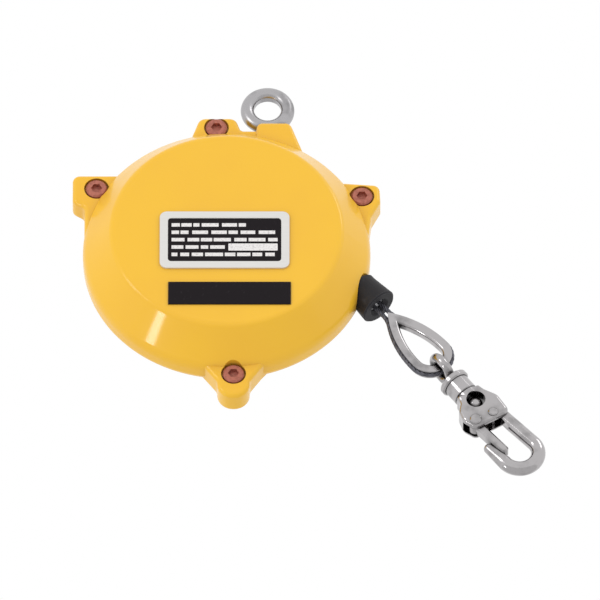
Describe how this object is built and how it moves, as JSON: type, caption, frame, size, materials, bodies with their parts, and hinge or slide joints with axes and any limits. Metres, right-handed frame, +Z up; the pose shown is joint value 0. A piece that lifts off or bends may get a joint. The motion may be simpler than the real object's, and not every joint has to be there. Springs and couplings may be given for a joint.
{
  "type": "spring tool balancer",
  "caption": "Round two-part housing hung from a swivel eye, with a spring-driven drum that reels a steel rope, rubber bumper, thimble loop, swivel and snap hook",
  "frame": {"origin": "centre of the suspension eye's hole, where the balancer hangs", "axes": "+Z up along the swivel axis of the eye, +Y from the front cover with the nameplate to the back with the tension ratchet, parallel to the drum's axis and the eye's hole, +X to the side that the rope leaves on"},
  "size_m": [0.1969, 0.0468, 0.1963],
  "materials": {
    "housing_paint": "die-cast aluminium, yellow powder coat, slightly glossy",
    "forged_zinc": "zinc-plated forged steel, dull silver",
    "screw_zinc": "steel screws with a warm yellow-chromate plating",
    "plate_metal": "thin aluminium plate, light border round a black field",
    "strip_black": "bare black adhesive strip",
    "bush_polymer": "dark low-friction polymer",
    "bumper_rubber": "black rubber",
    "shaft_steel": "turned steel",
    "drum_alloy": "as-cast aluminium with turned grooves",
    "bronze": "sintered bronze bearing metal",
    "rope_steel": "stranded steel rope",
    "spring_steel": "blued spring-steel strip and wire",
    "hook_chrome": "nickel-chrome plated steel",
    "zinc_ferrule": "pressed zinc-plated sleeve"
  },
  "bodies": {
    "suspension_eye": {"suspension_eye": "forged_zinc"},
    "housing": {"front_cover": "housing_paint", "rear_cover": "housing_paint", "housing_screws": "screw_zinc", "nameplate": "plate_metal", "name_strip": "strip_black", "guide_bush": "bush_polymer", "main_shaft": "shaft_steel", "thrust_washers": "bronze", "ratchet_wheel": "shaft_steel", "shaft_clip": "spring_steel", "pawl_pin": "shaft_steel", "pawl_spring": "spring_steel"},
    "drum": {"drum": "drum_alloy", "drum_cover": "drum_alloy", "drum_cover_screws": "shaft_steel", "drum_bushes": "bronze", "cable_wraps": "rope_steel", "cable_anchor": "zinc_ferrule", "power_spring": "spring_steel"},
    "cable_end": {"cable_run": "rope_steel", "ferrule": "zinc_ferrule", "bumper": "bumper_rubber", "cable_loop": "rope_steel", "thimble": "hook_chrome"},
    "swivel": {"swivel_link": "hook_chrome", "swivel_rivet": "hook_chrome"},
    "hook": {"snap_hook": "hook_chrome", "gate_rivets": "hook_chrome", "gate_spring": "spring_steel"},
    "gate": {"gate": "hook_chrome"},
    "pawl": {"pawl": "shaft_steel"}
  },
  "joints": [
    {"name": "eye_swivel", "type": "hinge", "parent": "suspension_eye", "child": "housing", "pos_m": [0, 0, -0.0215], "axis": [0, 0, 1], "continuous": true},
    {"name": "cable_pull", "type": "slide", "parent": "housing", "child": "cable_end", "axis": [0.6428, 0, -0.766], "range_m": [0, 1], "stiffness_N_per_m": 10, "springref_m": -0.5, "deforming": ["cable_run"]},
    {"name": "drum_spin", "type": "hinge", "parent": "housing", "child": "drum", "pos_m": [-0.017, 0, -0.075], "axis": [0, 1, 0], "range_deg": [-10, 1507.9], "deforming": ["power_spring"]},
    {"name": "link_swing", "type": "hinge", "parent": "cable_end", "child": "swivel", "pos_m": [0.06947, 0, -0.12749], "axis": [0, 1, 0], "range_deg": [-50, 50]},
    {"name": "hook_spin", "type": "hinge", "parent": "swivel", "child": "hook", "pos_m": [0.08632, 0, -0.14985], "axis": [0.6018, 0, -0.7986], "continuous": true},
    {"name": "gate_open", "type": "hinge", "parent": "hook", "child": "gate", "pos_m": [0.08655, 0, -0.16045], "axis": [0, 1, 0], "range_deg": [-20, 0], "stiffness_Nm_per_rad": 0.02, "springref_deg": 8.59, "deforming": ["gate_spring"]},
    {"name": "pawl_release", "type": "hinge", "parent": "housing", "child": "pawl", "pos_m": [-0.029, 0.01808, -0.05421], "axis": [0, 1, 0], "range_deg": [-12, 0], "stiffness_Nm_per_rad": 0.02, "springref_deg": 8.59, "deforming": ["pawl_spring"]}
  ],
  "couplings": [
    {"joint": "drum_spin", "follows": "cable_pull", "rad_per_m": 26.144}
  ]
}
